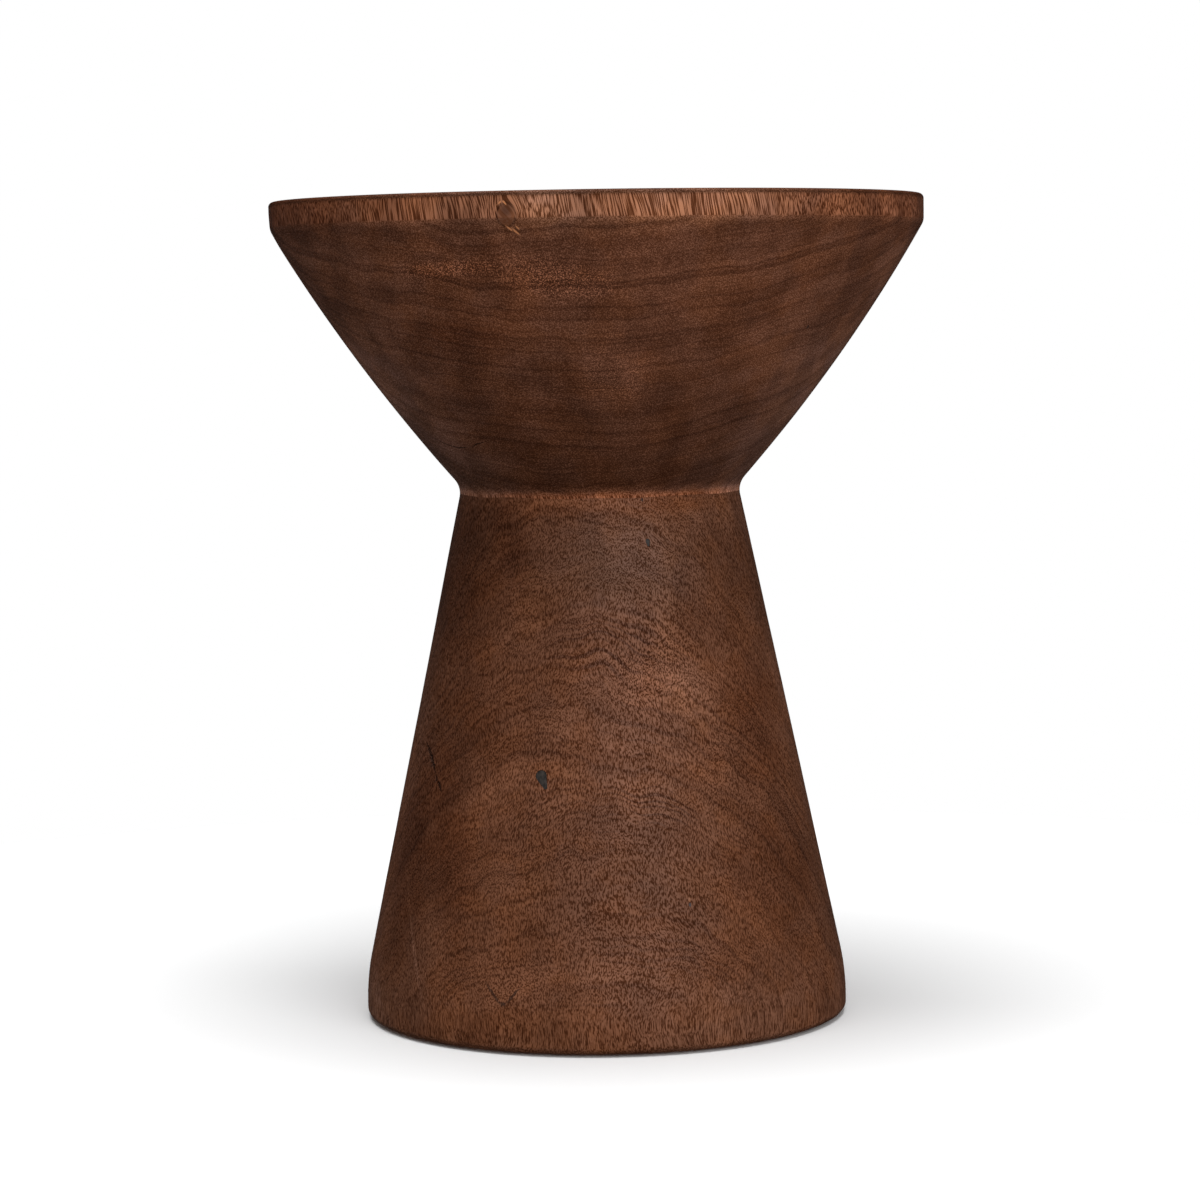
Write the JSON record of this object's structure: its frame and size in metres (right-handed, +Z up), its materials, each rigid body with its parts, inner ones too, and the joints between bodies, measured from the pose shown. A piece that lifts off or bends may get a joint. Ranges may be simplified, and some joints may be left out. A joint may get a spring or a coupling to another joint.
{
  "type": "side table",
  "caption": "Hourglass side table turned from dark stained hardwood: flared bowl-shaped top with a flat surface, pinched waist and conical base with a soft foot.",
  "frame": {"origin": "on the floor, on the turning axis, under the middle of the base", "axes": "+Z up along the turning axis; the pictured side faces -Y"},
  "size_m": [0.4039, 0.404, 0.508],
  "materials": {
    "hardwood": "satin oil over dark stain, upright grain",
    "dowel_wood": "bare",
    "resin": "satin",
    "felt": "pressed felt"
  },
  "bodies": {
    "root": {"top_block": "hardwood", "base_block": "hardwood", "waist_dowel": "dowel_wood", "front_knot_fill": "resin", "pin_knot_fill": "resin", "felt_pad_1": "felt", "felt_pad_2": "felt", "felt_pad_3": "felt", "felt_pad_4": "felt"}
  },
  "joints": []
}
